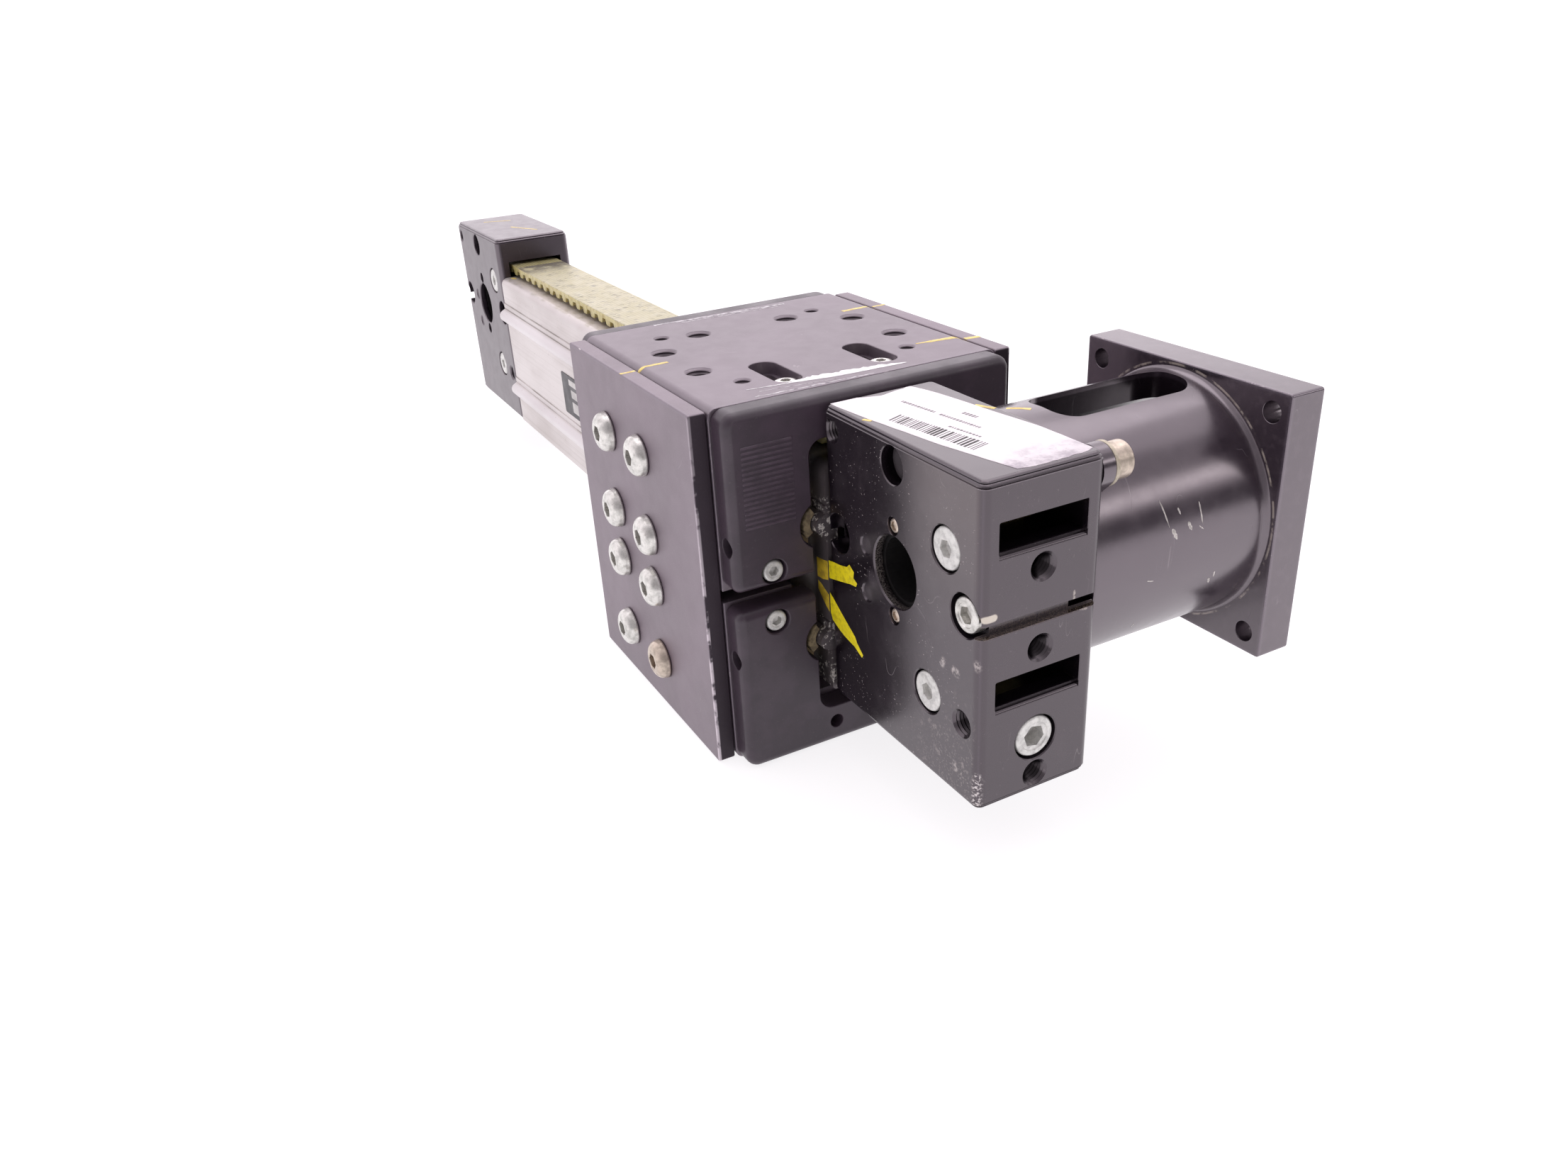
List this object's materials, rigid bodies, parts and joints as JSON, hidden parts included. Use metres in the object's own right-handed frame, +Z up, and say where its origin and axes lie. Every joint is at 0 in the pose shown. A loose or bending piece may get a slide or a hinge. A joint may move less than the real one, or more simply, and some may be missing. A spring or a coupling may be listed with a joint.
{
  "type": "belt-driven linear actuator",
  "caption": "Short belt-driven linear actuator with a ribbed beam, a black end housing at each end, a plated cart, a toothed belt and a round motor adapter.",
  "frame": {"origin": "centre of the underside plane of the cart, in the middle of the whole unit's length and width (bounding box bottom centre)", "axes": "+X along the beam towards the drive end, +Y towards the motor flange, +Z up"},
  "size_m": [0.511, 0.1624, 0.124],
  "materials": {
    "black_anodised": "satin black anodised, scuffed",
    "clear_anodised": "satin clear anodised extrusion",
    "pulley_aluminium": "machined",
    "belt_polyurethane": "semi-gloss pale polyurethane",
    "bearing_steel": "ground",
    "zinc_screw": "bright zinc plate",
    "slide_polymer": "plain bearing polymer",
    "cap_plastic": "matte black moulded plastic",
    "label_film": "blank white label film",
    "wiper_felt": "felt"
  },
  "bodies": {
    "base": {"beam": "clear_anodised", "drive_housing": "black_anodised", "idler_housing": "black_anodised", "drive_belt": "belt_polyurethane", "drive_bearing_left": "bearing_steel", "drive_bearing_right": "bearing_steel", "idler_bearing_left": "bearing_steel", "idler_bearing_right": "bearing_steel", "drive_side_screw_upper": "zinc_screw", "drive_side_screw_lower": "zinc_screw", "idler_side_screw_upper": "zinc_screw", "idler_side_screw_lower": "zinc_screw", "drive_cross_screw": "zinc_screw", "drive_end_bolt": "zinc_screw", "idler_end_bolt": "zinc_screw", "drive_bearing_screw_upper": "zinc_screw", "drive_bearing_screw_lower": "zinc_screw", "motor_adapter": "black_anodised", "adapter_washer_upper": "bearing_steel", "adapter_washer_lower": "bearing_steel", "adapter_screw_upper": "zinc_screw", "adapter_screw_lower": "zinc_screw"},
    "drive_pulley_body": {"drive_pulley": "pulley_aluminium"},
    "idler_pulley_body": {"idler_pulley": "pulley_aluminium"},
    "cart": {"cart_upper_half": "black_anodised", "cart_lower_half": "black_anodised", "slide_bearing_upper_left": "slide_polymer", "slide_bearing_upper_right": "slide_polymer", "slide_bearing_lower_left": "slide_polymer", "slide_bearing_lower_right": "slide_polymer", "belt_clamp": "clear_anodised", "belt_clamp_screw_left": "zinc_screw", "belt_clamp_screw_right": "zinc_screw", "side_plate_left": "black_anodised", "side_plate_right": "black_anodised", "plate_screw_left_1": "zinc_screw", "plate_screw_left_2": "zinc_screw", "plate_screw_left_3": "zinc_screw", "plate_screw_left_4": "zinc_screw", "plate_screw_left_5": "zinc_screw", "plate_screw_left_6": "zinc_screw", "plate_screw_left_7": "zinc_screw", "plate_screw_left_8": "zinc_screw", "plate_screw_right_1": "zinc_screw", "plate_screw_right_2": "zinc_screw", "plate_screw_right_3": "zinc_screw", "plate_screw_right_4": "zinc_screw", "plate_screw_right_5": "zinc_screw", "plate_screw_right_6": "zinc_screw", "plate_screw_right_7": "zinc_screw", "plate_screw_right_8": "zinc_screw", "front_cap_upper": "cap_plastic", "front_cap_lower": "cap_plastic", "rear_cap_upper": "cap_plastic", "rear_cap_lower": "cap_plastic", "front_cap_screw_upper_left": "zinc_screw", "front_cap_screw_upper_right": "zinc_screw", "front_cap_screw_lower_left": "zinc_screw", "front_cap_screw_lower_right": "zinc_screw"}
  },
  "joints": [
    {"name": "cart_slide", "type": "slide", "parent": "base", "child": "cart", "axis": [1, 0, 0], "range_m": [-0.222, 0]},
    {"name": "drive_pulley_spin", "type": "hinge", "parent": "base", "child": "drive_pulley_body", "pos_m": [0.21345, -0.0177, 0.0815], "axis": [0, 1, 0], "range_deg": [-510, 10]},
    {"name": "idler_pulley_spin", "type": "hinge", "parent": "base", "child": "idler_pulley_body", "pos_m": [-0.21675, -0.0177, 0.0815], "axis": [0, 1, 0], "range_deg": [-510, 10]}
  ],
  "couplings": [
    {"joint": "drive_pulley_spin", "follows": "cart_slide", "rad_per_m": 39.277},
    {"joint": "idler_pulley_spin", "follows": "cart_slide", "rad_per_m": 39.277}
  ]
}
